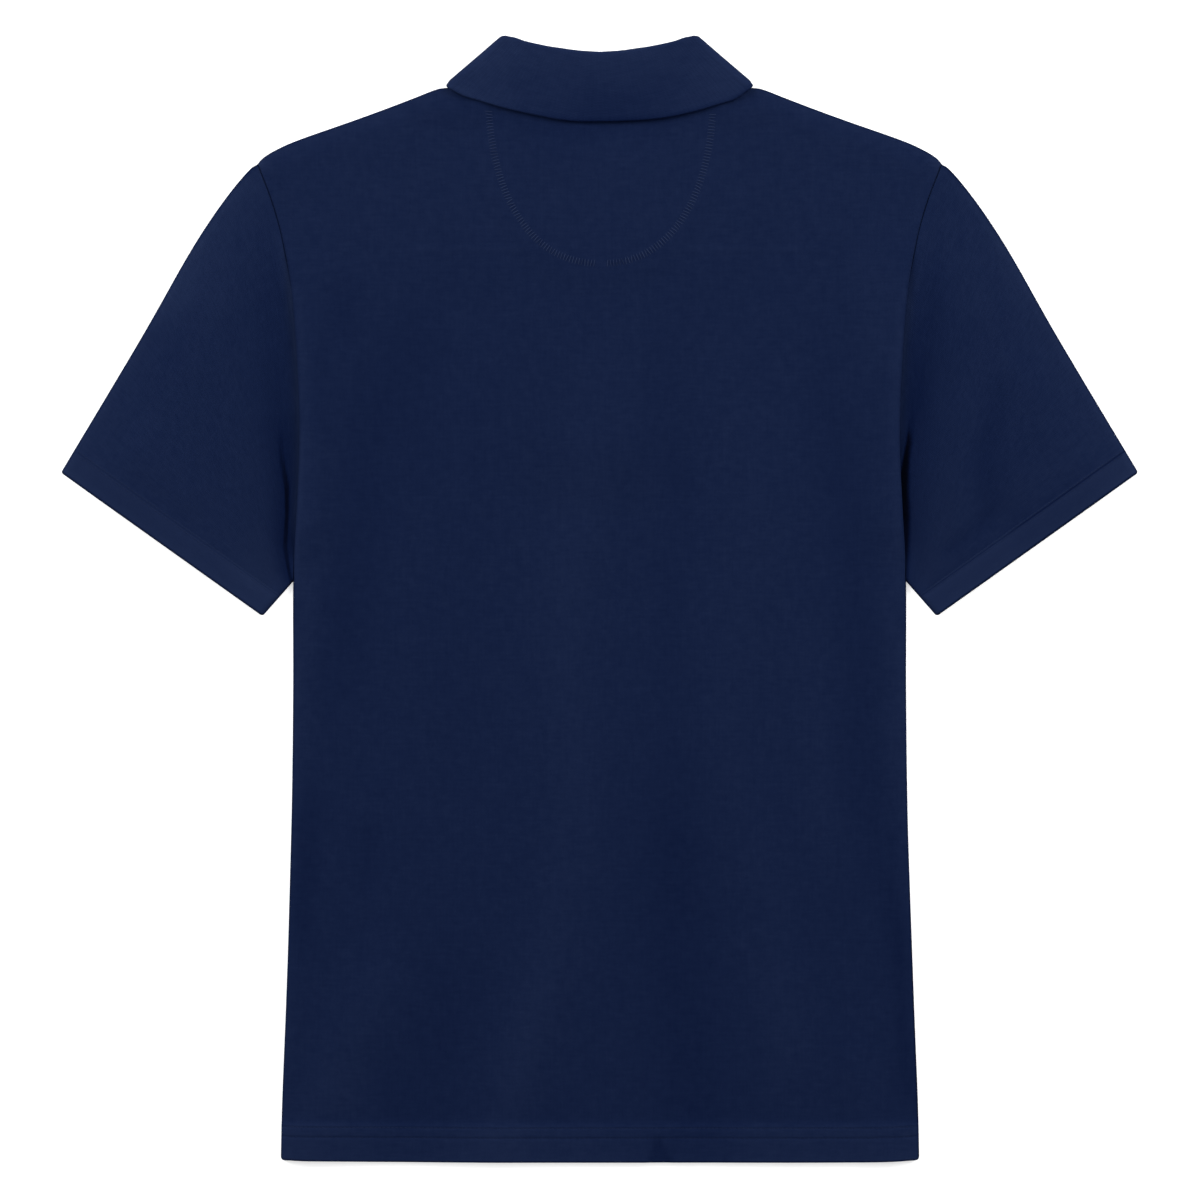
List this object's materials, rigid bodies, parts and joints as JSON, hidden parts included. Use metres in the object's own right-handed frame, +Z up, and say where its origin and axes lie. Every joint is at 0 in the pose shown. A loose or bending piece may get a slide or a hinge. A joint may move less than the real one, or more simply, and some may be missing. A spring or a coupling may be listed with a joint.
{
  "type": "polo shirt",
  "caption": "Short-sleeved polo shirt in navy knit, laid flat with its back up: folded rib collar, set-in sleeves, turned hems, half-moon inside the neck and buttoned front placket.",
  "frame": {"origin": "centre of the shirt's plan box, on the surface it lies on", "axes": "+Z up from the surface towards the shirt's back, +Y from hem to neck, +X to the wearer's right"},
  "size_m": [0.7248, 0.7594, 0.011],
  "materials": {
    "knit": "fine matt navy cotton knit with a faint sheen",
    "rib": "navy flat-knit rib, matt",
    "button": "dark navy plastic, softly polished"
  },
  "bodies": {
    "root": {"back_panel": "knit", "front_panel": "knit", "half_moon_patch": "knit", "sleeve_right": "knit", "sleeve_left": "knit", "placket_over": "knit", "placket_under": "knit", "collar": "rib", "button_1": "button", "button_2": "button", "button_3": "button"}
  },
  "joints": []
}
